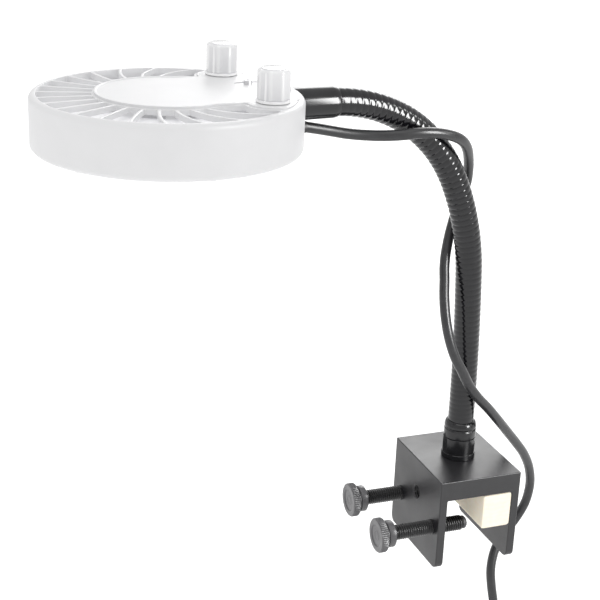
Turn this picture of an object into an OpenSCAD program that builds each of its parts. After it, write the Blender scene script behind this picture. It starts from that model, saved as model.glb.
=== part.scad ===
// Clip-on LED aquarium light: a round lamp head on a gooseneck, held on the rim of a tank by a clamp.
// The origin is the seat of the glass edge: the middle of the channel's ceiling, midway between the
// screw tips and the spacer block. +Z is up, +X runs across the clamp away from the screws, and +Y
// runs along the glass.

/* [Clamp] */
// Width of the clamp across the glass
clamp_w = 46; // [44:1:52]
// Length of the clamp along the glass
clamp_l = 56; // [54:1:64]
// Thickness of the web over the glass
web_t = 11; // [10:0.5:14]
// Thickness of each leg
leg_t = 4.4; // [4:0.2:5]
// Depth of the channel below the web
leg_drop = 39.5; // [36:0.5:50]
// Height of the row of screw holes below the ceiling
screw_row = 18.5; // [17:0.5:20]
// Distance of each screw from the middle of the leg
screw_offset = 19.5; // [17:0.5:21]

/* [Gooseneck] */
// Outer radius of the gooseneck
neck_r = 6.8; // [6.4:0.1:7]
// Gap between the stiff lengths of the gooseneck, at each bending place
neck_gap = 3.2; // [3:0.1:3.6]
// Swing of the gooseneck and the head about the upright
swing = 3.5; // [0:0.5:6]

/* [Head] */
// Radius of the lamp head
head_r = 60; // [60:1:62]
// Height of the lamp head
head_h = 24; // [24:0.5:26]
// Number of vent slots on each side of the front one
vents_per_side = 9; // [7:1:9]
// Outer radius of a dimmer knob
knob_r = 7.2; // [7:0.1:7.6]

/* [Cord] */
// Diameter of the power cord
cord_d = 5.2; // [5:0.1:5.4]
// Turns in the hank that stows the spare cord
hank_turns = 4; // [4:1:5]

/* [Hidden] */
$fn = 96;

// Colours
black_anodised = [0.10, 0.10, 0.11];
black_gloss = [0.05, 0.05, 0.06];
black_plastic = [0.08, 0.08, 0.09];
head_white = [0.90, 0.91, 0.92];
knob_white = [0.86, 0.87, 0.88];
vent_grey = [0.42, 0.43, 0.45];
cream = [0.93, 0.86, 0.72];
bright_metal = [0.75, 0.75, 0.77];
board_green = [0.10, 0.35, 0.20];

// Clamp details
corner_r = 4;
thread_r = 4;             // M8 thumbscrew, outside of its thread
thread_bore = 4.05;       // the hole it runs in
tapped_r = 3.4;           // a spare M8 hole, inside of its thread
top_hole_z = -7.7;
block_left = 2.4;
block_h = 19.5;
screw_length = 51.2;      // from the face of the head to the nylon tip
tip_front_x = -3;
tip_rear_x = -2.2;
tip_length = 2.3;
tip_pin_r = 1.5;
tip_pin_length = 3.5;
stud_r = 4;

// Gooseneck centre line: three arcs, each [radius, heading at its end], in the plane Y = 0. A heading of
// 0 points up, and one of 90 points towards the head. The foot stands in the base ferrule.
neck_start_z = 32;
neck_foot_z = 24.5;
ARCS = [[1180, 4], [134, 26], [75, 90]];
BEND_HEADINGS = [1.36, 4, 19, 36, 55.5, 87.5];
spring_r = 4.9;
spring_bore = 3.4;
foot_heading = -(neck_start_z - neck_foot_z) / ARCS[0][0] * 180 / PI;
function arc_start(i) = i == 0 ? foot_heading : ARCS[i - 1][1];
function arc_centre(i) = i == 0 ? [-ARCS[0][0], neck_start_z]
    : arc_centre(i - 1) + (ARCS[i - 1][0] - ARCS[i][0]) * [cos(arc_start(i)), sin(arc_start(i))];
function arc_at(heading) = heading <= ARCS[0][1] ? 0 : heading <= ARCS[1][1] ? 1 : 2;
function neck_point(heading) = arc_centre(arc_at(heading))
    + ARCS[arc_at(heading)][0] * [cos(heading), sin(heading)];
function arc_above(heading) = heading < ARCS[0][1] ? 0 : heading < ARCS[1][1] ? 1 : 2;
function half_gap(arc) = neck_gap / 2 / ARCS[arc][0] * 180 / PI;
// Heading at which the stiff length above, or below, a bending place stops
function gap_top(k) = BEND_HEADINGS[k] + half_gap(arc_above(BEND_HEADINGS[k]));
function gap_bottom(k) = BEND_HEADINGS[k] - half_gap(arc_at(BEND_HEADINGS[k]));
neck_end = neck_point(90);

// Head details, in the head's own frame: origin at the middle of its top face, +x towards the gooseneck
head_reach = 163.4;
neck_drop = 8;            // gooseneck axis below the top face
head_top = neck_end[1] + neck_drop;
wall_t = 3;
roof_t = 2.5;
edge_r = 2.6;
vent_in = 33;
vent_out = 56.8;
vent_rear_x = 34;
rib_pitch = 106 / vents_per_side;
rib_sweep = 22;
rib_w = 1.5;
plate_r = 31;
plate_half = 28.5;
plate_rise = 0.7;
lip_w = 1.2;
knob_x = 36.6;
knob_y = 30.9;
knob_boss_r = 11.5;
knob_h = 14.6;
knob_base_h = 1.2;
shaft_r = 3;
shaft_bore = 3.05;
bush_r = 3.5;
recess_front = 34.5;
recess_back = 54;
recess_half = 12.5;
recess_floor = 0.2;
recess_corner = 4;
ferrule_r = 7.5;
ferrule_in = 48;
spigot_r = 5;
anchor_front = 37;
anchor_l = 9;
anchor_h = 11;
anchor_screw_x = 41;
anchor_screw_y = 9;
m3_r = 1.5;
cord_z = -18.9;
gland_r = 3.1;
bezel_z = -22.4;          // top of the bezel ring, inside the wall
boss_x = 54.6;            // ring of bezel screws
boss_h = 10;
post_x = 27;              // ring of heat sink screws
sink_z = -16.4;           // underside of the heat sink
sink_base_t = 2.4;
board_t = 1.6;
board_z = -11.4;          // underside of the driver board
glass_z = -22.6;          // underside of the front glass

// Rings of emitters: each pair is [ring radius, number on it]
LED_RINGS = [[0, 1], [13, 6], [36, 18]];

// Cord route, from the gland to the hank. Each pair in SPANS is the first and last point of one stretch.
ROUTE = [
    [-97, -6, 194.9], [-90, -6, 193.6], [-82, -6.2, 192],
    [-78.4, -6.5, 191.3], [-67, -8, 190], [-56, -11, 190], [-49, -13, 190.6], [-43.5, -13.8, 191.2],
    [-39.5, -14, 191.2], [-32, -13.6, 190.6], [-24.4, -12, 188.6], [-17.9, -9, 185.6], [-13.8, -6, 182.4],
    [-11.6, -3.8, 180], [-7.2, 1.8, 173.2], [-4.2, 6.6, 165.6], [-3, 9.9, 158.2], [-4, 11.4, 152],
    [-5.4, 11.6, 148], [-8.2, 10.8, 138.5], [-11.4, 8.4, 129], [-14.2, 4.8, 120.5], [-15.4, 2.4, 115.8],
    [-16, 0.4, 112.2], [-17.8, -4.5, 103.5], [-18.4, -9, 94], [-17.2, -12.4, 84], [-13.8, -14, 74],
    [-9, -14.2, 65.5], [-7.2, -14, 62.2],
    [-5, -13.6, 58.4], [1.5, -12.2, 50], [10.3, -9, 41], [19.5, -4.8, 31], [28.5, 0, 21], [37.5, 5, 11],
    [47.5, 10.5, -1], [55, 15.5, -14], [58.5, 19, -26.5], [57.5, 20.5, -38],
    [52, 20.2, -47.5], [43.8, 17.8, -54.5], [37.2, 14.6, -62.5], [34, 11.4, -72], [34, 8.8, -82],
    [35.4, 7.2, -92], [36.4, 6.5, -101.5], [36.5, 6.5, -113]
];
SPANS = [[0, 2], [3, 7], [8, 12], [13, 17], [18, 22], [23, 29], [30, 47]];
cord_sides = 10;

// Hank: a long coil hanging under the clamp, its turns side by side along Y
fold_r = 15.6;
run_length = 78;
turn_pitch = 5.3;
hank_x = 36.5 - fold_r;
hank_top_z = -124;
hank_y0 = 6.5;
hank_y1 = hank_y0 + hank_turns * turn_pitch;
tie_t = 1.2;
tie_h = 12;
tie_z = hank_top_z - run_length / 2;
plug_x = 36.5;
plug_top_z = hank_top_z - run_length - 8;
plug_grip_r = 5.2;
plug_relief_h = 12;
plug_grip_h = 24;
barrel_r = 2.75;
barrel_h = 9.5;

// ---------- placing ----------

module in_neck_plane() {
    rotate([0, 0, swing])
        children();
}

module in_head() {
    in_neck_plane()
        translate([-head_reach, 0, head_top])
            children();
}

module ring(outer, inner) {
    difference() {
        circle(outer);
        circle(inner);
    }
}

// Turns a shape drawn along +Z so that it runs along +X
module along_x() {
    rotate([0, 90, 0])
        children();
}

// ---------- clamp ----------

module leg_profile() {
    translate([-clamp_l / 2, -leg_drop + corner_r])
        square([clamp_l, leg_drop - corner_r]);
    translate([-clamp_l / 2 + corner_r, -leg_drop])
        square([clamp_l - 2 * corner_r, leg_drop]);
    for (side = [-1, 1])
        translate([side * (clamp_l / 2 - corner_r), -leg_drop + corner_r])
            circle(corner_r);
}

module leg() {
    rotate([90, 0, 90])
        linear_extrude(leg_t)
            leg_profile();
}

// A tapped hole through a leg, with a small countersink at each face
module spare_hole(y, z) {
    translate([0, y, z])
        along_x() {
            translate([0, 0, -1])
                cylinder(r = tapped_r, h = leg_t + 2);
            translate([0, 0, -0.01])
                cylinder(r1 = tapped_r + 0.8, r2 = tapped_r, h = 0.8);
            translate([0, 0, leg_t - 0.79])
                cylinder(r1 = tapped_r, r2 = tapped_r + 0.8, h = 0.8);
        }
}

module clamp_bracket() {
    color(black_anodised)
        difference() {
            union() {
                translate([-clamp_w / 2, -clamp_l / 2, 0])
                    cube([clamp_w, clamp_l, web_t]);
                translate([-clamp_w / 2, 0, 0])
                    leg();
                translate([clamp_w / 2 - leg_t, 0, 0])
                    leg();
            }
            for (side = [-1, 1])
                translate([-clamp_w / 2 - 1, side * screw_offset, -screw_row])
                    along_x()
                        cylinder(r = thread_bore, h = leg_t + 2);
            translate([-clamp_w / 2, 0, 0])
                spare_hole(0, top_hole_z);
            translate([clamp_w / 2 - leg_t, 0, 0]) {
                spare_hole(0, top_hole_z);
                for (side = [-1, 1])
                    spare_hole(side * screw_offset, -screw_row);
            }
            translate([0, 0, 2])
                cylinder(r = stud_r, h = web_t);
        }
}

module spacer_block() {
    color(cream)
        translate([block_left, -clamp_l / 2, -block_h])
            cube([clamp_w / 2 - leg_t - block_left, clamp_l, block_h]);
}

// Thumbscrew drawn with the face of its head at the origin, pointing along +X
module thumbscrew(tip_x, y) {
    shank_end = screw_length - tip_length - 0.2;
    color(black_plastic)
        translate([tip_x - screw_length, y, -screw_row])
            along_x()
                difference() {
                    rotate_extrude()
                        polygon([
                            [0, 0.4], [5.6, 0.4], [6, 0], [8.5, 0], [9, 0.5], [9, 3.5], [8.5, 4], [6.3, 4],
                            [6.3, 5.2], [7, 5.6], [7, 8.6], [6.6, 9], [5, 9], [5, 9.8], [thread_r, 10.4],
                            [thread_r, shank_end - 0.6], [thread_r - 0.6, shank_end], [0, shank_end]
                        ]);
                    translate([0, 0, shank_end - tip_pin_length - 0.3])
                        cylinder(r = tip_pin_r + 0.05, h = tip_pin_length + 1);
                }
}

// Nylon tip that swivels in the end of the screw and doesn't turn on the glass
module screw_tip(tip_x, y) {
    color(black_plastic)
        translate([tip_x, y, -screw_row])
            along_x() {
                rotate_extrude()
                    polygon([
                        [0, -tip_length], [3.4, -tip_length], [3.4, -1], [2.6, -0.2], [1.6, 0], [0, 0]
                    ]);
                translate([0, 0, -tip_length - tip_pin_length])
                    cylinder(r = tip_pin_r, h = tip_pin_length + 0.5);
            }
}

// ---------- gooseneck ----------

module neck_stud() {
    color(bright_metal)
        translate([0, 0, 2])
            cylinder(r = stud_r, h = 18);
}

module neck_base_collar() {
    color(black_gloss)
        difference() {
            translate([0, 0, web_t])
                cylinder(r = 8.9, h = 11.5);
            translate([0, 0, web_t - 1])
                cylinder(r = stud_r, h = 10);
            for (side = [-1, 1])
                translate([side * 13 - 5, -10, web_t + 3])
                    cube([10, 20, 20]);
        }
}

module neck_base_ferrule() {
    color(black_gloss)
        rotate_extrude()
            polygon([
                [0, 22.5], [8.1, 22.5], [8.4, 22.9], [8.4, 27.2], [8, 27.6], [8, 28], [8.4, 28.4],
                [8.4, 29.4], [neck_r + 0.3, neck_start_z], [neck_r + 0.05, neck_start_z],
                [neck_r + 0.05, 24.4], [0, 24.4]
            ]);
}

// A stretch of tube that follows arc number i of the centre line between two headings
module neck_arc(i, from, to, outer, inner) {
    centre = arc_centre(i);
    translate([centre[0], 0, centre[1]])
        rotate([90, 0, 0])
            rotate([0, 0, from])
                rotate_extrude(angle = to - from)
                    translate([ARCS[i][0], 0])
                        ring(outer, inner);
}

// A stretch of tube between two headings, over as many arcs as it crosses
module neck_stretch(from, to, outer, inner) {
    in_neck_plane()
        for (i = [0:len(ARCS) - 1])
            if (from < ARCS[i][1] && to > arc_start(i))
                neck_arc(i, max(from, arc_start(i)), min(to, ARCS[i][1]), outer, inner);
}

// Stiff length number k of the gooseneck, counted from 1 at the clamp
module neck_length(k, outer, inner) {
    neck_stretch(k == 1 ? foot_heading : gap_top(k - 2), gap_bottom(k - 1), outer, inner);
}

module neck_sleeve(k) {
    color(black_gloss)
        neck_length(k, neck_r, spring_r + 0.1);
}

module neck_spring(k) {
    color(bright_metal)
        neck_length(k, spring_r, spring_bore);
}

// Upper ferrule: a spigot in the anchor block, a body in the head's wall, and a mouth at the last
// bending place
module neck_top_ferrule() {
    mouth = head_reach + neck_point(BEND_HEADINGS[5])[0] - neck_gap / 2;
    color(black_gloss)
        in_head()
            translate([0, 0, -neck_drop])
                along_x()
                    rotate_extrude()
                        polygon([
                            [0, anchor_front], [spigot_r, anchor_front], [spigot_r, ferrule_in],
                            [ferrule_r, ferrule_in], [ferrule_r, mouth - 2.2], [neck_r + 0.2, mouth],
                            [3, mouth], [3, ferrule_in + 4], [0, ferrule_in + 4]
                        ]);
}

module on_anchor_screws() {
    for (side = [-1, 1])
        translate([anchor_screw_x, side * anchor_screw_y, 0])
            children();
}

// Block under the roof that holds the ferrule's spigot
module neck_anchor() {
    color(bright_metal)
        in_head()
            difference() {
                translate([anchor_front, -recess_half, -roof_t - anchor_h])
                    cube([anchor_l, 2 * recess_half, anchor_h]);
                translate([anchor_front - 1, 0, -neck_drop])
                    along_x()
                        cylinder(r = spigot_r, h = anchor_l + 2);
                on_anchor_screws()
                    translate([0, 0, -roof_t - anchor_h - 1])
                        cylinder(r = m3_r, h = anchor_h + 2);
            }
}

// Two cap screws that hold the anchor block from above
module anchor_screws() {
    color(bright_metal)
        in_head()
            on_anchor_screws()
                difference() {
                    union() {
                        translate([0, 0, recess_floor])
                            cylinder(r = 1.9, h = 2);
                        translate([0, 0, -11])
                            cylinder(r = m3_r, h = 12);
                    }
                    translate([0, 0, recess_floor + 0.8])
                        cylinder(r = 1.2, h = 2, $fn = 6);
                }
}

// ---------- head ----------

// Outline of the raised plate: a disc, a bridge that runs on to the rear edge, and a boss under each knob
module plate_outline(grow) {
    circle(plate_r + grow);
    translate([0, -plate_half - grow])
        square([head_r, 2 * (plate_half + grow)]);
    for (side = [-1, 1])
        translate([knob_x, side * knob_y])
            circle(knob_boss_r + grow);
}

function rib_angle(k, t) = 180 + rib_pitch * k + rib_sweep * pow(abs(k) / 8.5, 3) * sign(k) * pow(t, 1.4);
function rib_point(k, t, side) =
    let (r = vent_in - 2 + (vent_out - vent_in + 3) * t, a = rib_angle(k, t))
    r * [cos(a), sin(a)] + side * rib_w / 2 * [-sin(a), cos(a)];

// One curved rib between two slots. k counts from the front: 0.5, 1.5 and so on, and is negative on
// the other side.
module rib(k) {
    steps = 6;
    polygon(concat(
        [for (i = [0:steps]) rib_point(k, i / steps, 1)],
        [for (i = [steps:-1:0]) rib_point(k, i / steps, -1)]
    ));
}

module vent_slots() {
    difference() {
        circle(vent_out);
        plate_outline(lip_w);
        circle(vent_in);
        translate([vent_rear_x, -head_r])
            square([head_r, 2 * head_r]);
        for (k = [0.5:1:vents_per_side - 0.5]) {
            rib(k);
            rib(-k);
        }
    }
}

// Wall and roof of the head as one revolved section, with rounded outer edges
module housing_shell() {
    rotate_extrude()
        difference() {
            union() {
                translate([0, -head_h])
                    square([head_r - edge_r, head_h]);
                translate([0, edge_r - head_h])
                    square([head_r, head_h - 2 * edge_r]);
                for (z = [-edge_r, edge_r - head_h])
                    translate([head_r - edge_r, z])
                        circle(edge_r);
            }
            translate([-1, -head_h - 1])
                square([head_r - wall_t + 1, head_h - roof_t + 1]);
        }
}

module on_posts() {
    for (a = [60, 180, 300])
        rotate([0, 0, a])
            translate([post_x, 0, 0])
                children();
}

module on_bosses() {
    for (a = [30:60:330])
        rotate([0, 0, a])
            translate([boss_x, 0, 0])
                children();
}

module head_housing() {
    post_z = sink_z + sink_base_t;
    color(head_white)
        in_head()
            difference() {
                union() {
                    difference() {
                        housing_shell();
                        translate([0, 0, -roof_t - 1])
                            linear_extrude(roof_t + 2)
                                vent_slots();
                    }
                    on_posts()
                        translate([0, 0, post_z])
                            cylinder(r = 3, h = -roof_t - post_z);
                    on_bosses()
                        translate([0, 0, bezel_z])
                            cylinder(r = 3, h = boss_h);
                }
                on_posts()
                    translate([0, 0, post_z - 1])
                        cylinder(r = 1.2, h = 8);
                on_bosses()
                    translate([0, 0, -head_h])
                        cylinder(r = 1.1, h = 9);
                translate([ferrule_in - 1, 0, -neck_drop])
                    along_x()
                        cylinder(r = ferrule_r, h = 20);
                translate([50, 0, cord_z])
                    along_x()
                        cylinder(r = gland_r, h = 20);
                for (side = [-1, 1])
                    translate([knob_x, side * knob_y, -roof_t - 1])
                        cylinder(r = bush_r, h = roof_t + 2);
                on_anchor_screws()
                    translate([0, 0, -roof_t - 1])
                        cylinder(r = m3_r, h = roof_t + 2);
            }
}

// Recess between the knobs, with rounded front corners
module recess_outline() {
    translate([recess_front, recess_corner - recess_half])
        square([recess_back - recess_front, 2 * (recess_half - recess_corner)]);
    translate([recess_front + recess_corner, -recess_half])
        square([recess_back - recess_front - recess_corner, 2 * recess_half]);
    for (side = [-1, 1])
        translate([recess_front + recess_corner, side * (recess_half - recess_corner)])
            circle(recess_corner);
}

// Raised plate with a lip round its front, and a recess between the knobs for the anchor's screws
module control_plate() {
    color(head_white)
        in_head()
            difference() {
                union() {
                    linear_extrude(plate_rise)
                        intersection() {
                            plate_outline(0);
                            circle(head_r - edge_r);
                        }
                    linear_extrude(plate_rise + 0.5)
                        difference() {
                            plate_outline(lip_w);
                            plate_outline(0);
                            translate([knob_x - 14, -head_r])
                                square([head_r, 2 * head_r]);
                        }
                }
                for (side = [-1, 1])
                    translate([knob_x, side * knob_y, -1])
                        cylinder(r = bush_r, h = 4);
                translate([0, 0, recess_floor])
                    linear_extrude(3)
                        recess_outline();
                on_anchor_screws()
                    translate([0, 0, -1])
                        cylinder(r = m3_r, h = 4);
            }
}

// Disc with fins, a flat cover over the fins that closes the vent slots from below, a round wall inside
// the fins, and three studs for the driver board
module heat_sink() {
    fin_h = 11.9;
    wall_r = 31.8;
    cover_r = 56;
    cover_t = 0.8;
    color(vent_grey)
        in_head()
            difference() {
                union() {
                    translate([0, 0, sink_z])
                        cylinder(r = 50, h = sink_base_t);
                    for (k = [0.5 - vents_per_side:vents_per_side - 0.5])
                        rotate([0, 0, 180 + rib_pitch * k])
                            translate([wall_r - 0.5, -0.7, sink_z])
                                cube([17.7, 1.4, fin_h]);
                    translate([0, 0, sink_z + fin_h - cover_t])
                        linear_extrude(cover_t)
                            difference() {
                                ring(cover_r, wall_r - 1.5);
                                translate([vent_rear_x - 3, -cover_r])
                                    square([cover_r, 2 * cover_r]);
                            }
                    translate([0, 0, sink_z])
                        linear_extrude(fin_h)
                            ring(wall_r, wall_r - 1.5);
                    for (a = [0, 120, 240])
                        rotate([0, 0, a])
                            translate([19, 0, sink_z])
                                cylinder(r = 2, h = board_z - sink_z);
                }
                on_posts()
                    translate([0, 0, sink_z - 1])
                        cylinder(r = 1.6, h = 4);
                translate([44, -10, sink_z - 1])
                    cube([10, 20, 6]);
            }
}

module heat_sink_screws() {
    color(bright_metal)
        in_head()
            on_posts()
                translate([0, 0, sink_z - 0.5]) {
                    cylinder(r = 2.4, h = 0.5);
                    cylinder(r = 1.2, h = 8.9);
                }
}

module led_board() {
    color([0.92, 0.92, 0.90])
        in_head()
            difference() {
                translate([0, 0, sink_z - board_t])
                    cylinder(r = 43, h = board_t);
                on_posts()
                    translate([0, 0, sink_z - board_t - 1])
                        cylinder(r = 2.6, h = 4);
            }
}

module on_led_rings() {
    for (ring = LED_RINGS)
        for (i = [0:ring[1] - 1])
            rotate([0, 0, 360 / ring[1] * i])
                translate([ring[0], 0, 0])
                    children();
}

module led_emitters() {
    color([0.95, 0.85, 0.35])
        in_head()
            on_led_rings()
                translate([-1.7, -1.7, sink_z - board_t - 0.6])
                    cube([3.4, 3.4, 0.6]);
}

// Clear plate with a cup over each emitter, standing on three feet
module lens_plate() {
    lens_z = glass_z + 1.6;
    color([0.85, 0.90, 0.95])
        in_head() {
            difference() {
                translate([0, 0, lens_z])
                    cylinder(r = 46, h = 1.6);
                on_led_rings()
                    translate([0, 0, lens_z + 0.8])
                        cylinder(r = 3, h = 2);
            }
            for (a = [0, 120, 240])
                rotate([0, 0, a])
                    translate([24, 0, lens_z + 1.5])
                        cylinder(r = 2, h = sink_z - board_t - lens_z - 1.5);
        }
}

module front_glass() {
    color([0.80, 0.88, 0.92, 0.5])
        in_head()
            translate([0, 0, glass_z])
                cylinder(r = 50, h = 1.6);
}

module glass_gasket() {
    color(black_plastic)
        in_head()
            translate([0, 0, glass_z - 0.6])
                linear_extrude(0.6)
                    ring(50, 47);
}

// Ring that carries the glass: a ledge inside, and a band that fits the wall of the head
module bezel_ring() {
    color(head_white)
        in_head()
            difference() {
                rotate_extrude()
                    polygon([
                        [46, -head_h], [head_r - wall_t, -head_h], [head_r - wall_t, bezel_z],
                        [50.1, bezel_z], [50.1, glass_z - 0.6], [46.8, glass_z - 0.6]
                    ]);
                on_bosses()
                    translate([0, 0, -head_h - 1])
                        cylinder(r = 1.3, h = 4);
            }
}

module bezel_screws() {
    color(bright_metal)
        in_head()
            on_bosses()
                translate([0, 0, -head_h - 0.6])
                    difference() {
                        union() {
                            cylinder(r = 2.1, h = 0.6);
                            cylinder(r = 1.1, h = 8);
                        }
                        translate([0, 0, -1])
                            cylinder(r = 0.7, h = 1.4, $fn = 6);
                    }
}

module driver_board() {
    color(board_green)
        in_head()
            translate([0, 0, board_z])
                cylinder(r = 23, h = board_t);
}

// Power parts on top of the driver board: an inductor, two capacitors, a chip and a terminal block
module driver_parts() {
    color(black_plastic)
        in_head()
            translate([0, 0, board_z + board_t]) {
                translate([-8, -4, 0])
                    cylinder(r = 5.5, h = 5);
                for (y = [6, 14])
                    translate([6, y, 0])
                        cylinder(r = 3.2, h = 6.4);
                translate([2, -12, 0])
                    cube([7, 7, 1.6]);
                translate([13, -8, 0])
                    cube([6, 12, 5.6]);
            }
}

module pot(side) {
    color(bright_metal)
        in_head()
            translate([knob_x, side * knob_y, 0])
                difference() {
                    union() {
                        translate([-4.8, -4.8, -roof_t - 7])
                            cube([9.6, 9.6, 7]);
                        translate([0, 0, -roof_t])
                            cylinder(r = bush_r, h = roof_t + 4.2);
                    }
                    translate([0, 0, -roof_t - 1])
                        cylinder(r = shaft_bore, h = 10);
                }
}

module pot_nut(side) {
    color(bright_metal)
        in_head()
            translate([knob_x, side * knob_y, plate_rise])
                difference() {
                    cylinder(r = 5.2, h = 1.8, $fn = 6);
                    translate([0, 0, -1])
                        cylinder(r = bush_r, h = 4);
                }
}

// Fluted knob with a base flange and its own shaft
module knob(side) {
    flutes = 12;
    seat = plate_rise + 0.3;
    color(knob_white)
        in_head()
            translate([knob_x, side * knob_y, 0]) {
                difference() {
                    translate([0, 0, seat])
                        rotate_extrude()
                            polygon([
                                [0, 0], [knob_r + 0.5, 0], [knob_r + 0.5, knob_base_h],
                                [knob_r, knob_base_h + 0.3], [knob_r, knob_h - 0.9],
                                [knob_r - 0.9, knob_h], [0, knob_h]
                            ]);
                    for (i = [0:flutes - 1])
                        rotate([0, 0, 360 / flutes * i])
                            translate([knob_r + 2.3, 0, seat + knob_base_h + 1])
                                cylinder(r = 2.7, h = knob_h - 3.6);
                    translate([0, 0, -1])
                        cylinder(r = 5.6, h = 5.8);
                }
                translate([0, 0, -roof_t - 0.5])
                    cylinder(r = shaft_r, h = roof_t + 8);
            }
}

// Strain relief snapped into the wall of the head, below the gooseneck
module cord_gland() {
    inside = head_r - wall_t;
    color(black_plastic)
        in_head()
            translate([0, 0, cord_z])
                along_x()
                    rotate_extrude()
                        polygon([
                            [0, inside - 1.5], [gland_r + 0.3, inside - 1.5],
                            [gland_r + 0.3, inside - 0.1], [gland_r, inside - 0.1],
                            [gland_r, head_r + 1], [cord_d / 2 + 0.2, head_r + 6.2], [0, head_r + 6.2]
                        ]);
}

// ---------- cord ----------

function unit(v) = v / norm(v);
// Direction of the route at point i of a stretch that runs from point a to point b
function heading_at(i, a, b) = unit(ROUTE[min(i + 1, b)] - ROUTE[max(i - 1, a)]);
function cross_section(i, a, b) =
    let (
        along = heading_at(i, a, b),
        across = unit(cross(along, [0.35, 0.85, 0.4])),
        up = cross(across, along)
    )
    [for (s = [0:cord_sides - 1])
        ROUTE[i] + cord_d / 2 * (cos(360 / cord_sides * s) * across + sin(360 / cord_sides * s) * up)];

// Tube swept along the route from point a to point b
module cord_span(a, b) {
    rings = b - a + 1;
    last = (rings - 1) * cord_sides;
    walls = [
        for (r = [0:rings - 2])
            for (s = [0:cord_sides - 1])
                let (n = (s + 1) % cord_sides)
                [r * cord_sides + s, (r + 1) * cord_sides + s, (r + 1) * cord_sides + n, r * cord_sides + n]
    ];
    first_cap = [for (s = [0:cord_sides - 1]) s];
    last_cap = [for (s = [cord_sides - 1:-1:0]) last + s];
    color(black_plastic)
        polyhedron(
            points = [for (i = [a:b]) each cross_section(i, a, b)],
            faces = concat(walls, [first_cap], [last_cap])
        );
}

module cord_hank() {
    color(black_plastic)
        translate([0, hank_y1 + cord_d / 2, 0])
            rotate([90, 0, 0])
                linear_extrude(hank_y1 - hank_y0 + cord_d) {
                    for (z = [hank_top_z, hank_top_z - run_length])
                        translate([hank_x, z])
                            circle(fold_r + cord_d / 2);
                    translate([hank_x - fold_r - cord_d / 2, hank_top_z - run_length])
                        square([2 * fold_r + cord_d, run_length]);
                }
}

module hank_tie() {
    half_w = fold_r + cord_d / 2;
    color(black_plastic)
        translate([hank_x - half_w, hank_y0 - cord_d / 2, tie_z - tie_h / 2])
            difference() {
                translate([-tie_t, -tie_t, 0])
                    cube([2 * (half_w + tie_t), hank_y1 - hank_y0 + cord_d + 2 * tie_t, tie_h]);
                translate([0, 0, -1])
                    cube([2 * half_w, hank_y1 - hank_y0 + cord_d, tie_h + 2]);
            }
}

// Low-voltage barrel plug hanging from the end of the cord
module plug_grip() {
    color(black_plastic)
        translate([plug_x, hank_y1, plug_top_z])
            rotate_extrude()
                polygon([
                    [0, 0], [cord_d / 2 + 0.4, 0], [plug_grip_r - 1.2, -plug_relief_h],
                    [plug_grip_r, -plug_relief_h - 1], [plug_grip_r, -plug_relief_h - plug_grip_h + 1],
                    [plug_grip_r - 1, -plug_relief_h - plug_grip_h], [0, -plug_relief_h - plug_grip_h]
                ]);
}

module plug_barrel() {
    color(bright_metal)
        translate([plug_x, hank_y1, plug_top_z - plug_relief_h - plug_grip_h - barrel_h])
            difference() {
                cylinder(r = barrel_r, h = barrel_h);
                translate([0, 0, -1])
                    cylinder(r = 1.25, h = barrel_h);
            }
}

clamp_bracket();
spacer_block();
neck_stud();
neck_base_collar();
neck_base_ferrule();
thumbscrew(tip_front_x, -screw_offset);  // thumbscrew_front
thumbscrew(tip_rear_x, screw_offset);  // thumbscrew_rear
screw_tip(tip_front_x, -screw_offset);  // screw_tip_front
screw_tip(tip_rear_x, screw_offset);  // screw_tip_rear
neck_sleeve(1);  // neck_sleeve_1
neck_sleeve(2);  // neck_sleeve_2
neck_sleeve(3);  // neck_sleeve_3
neck_sleeve(4);  // neck_sleeve_4
neck_sleeve(5);  // neck_sleeve_5
neck_sleeve(6);  // neck_sleeve_6
neck_spring(1);  // neck_spring_1
neck_spring(2);  // neck_spring_2
neck_spring(3);  // neck_spring_3
neck_spring(4);  // neck_spring_4
neck_spring(5);  // neck_spring_5
neck_spring(6);  // neck_spring_6
neck_top_ferrule();
neck_anchor();
anchor_screws();
head_housing();
control_plate();
heat_sink();
heat_sink_screws();
led_board();
led_emitters();
lens_plate();
front_glass();
glass_gasket();
bezel_ring();
bezel_screws();
driver_board();
driver_parts();
pot(1);  // pot_left
pot(-1);  // pot_right
pot_nut(1);  // pot_nut_left
pot_nut(-1);  // pot_nut_right
knob(1);  // knob_left
knob(-1);  // knob_right
cord_gland();
cord_span(SPANS[0][0], SPANS[0][1]);  // cord_head
cord_span(SPANS[1][0], SPANS[1][1]);  // cord_span_6
cord_span(SPANS[2][0], SPANS[2][1]);  // cord_span_5
cord_span(SPANS[3][0], SPANS[3][1]);  // cord_span_4
cord_span(SPANS[4][0], SPANS[4][1]);  // cord_span_3
cord_span(SPANS[5][0], SPANS[5][1]);  // cord_span_2
cord_span(SPANS[6][0], SPANS[6][1]);  // cord_tail
cord_hank();
hank_tie();
plug_grip();
plug_barrel();
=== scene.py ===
import math

import bmesh
import bpy
import numpy as np
from mathutils import Matrix, Vector
from mathutils.geometry import delaunay_2d_cdt


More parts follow.
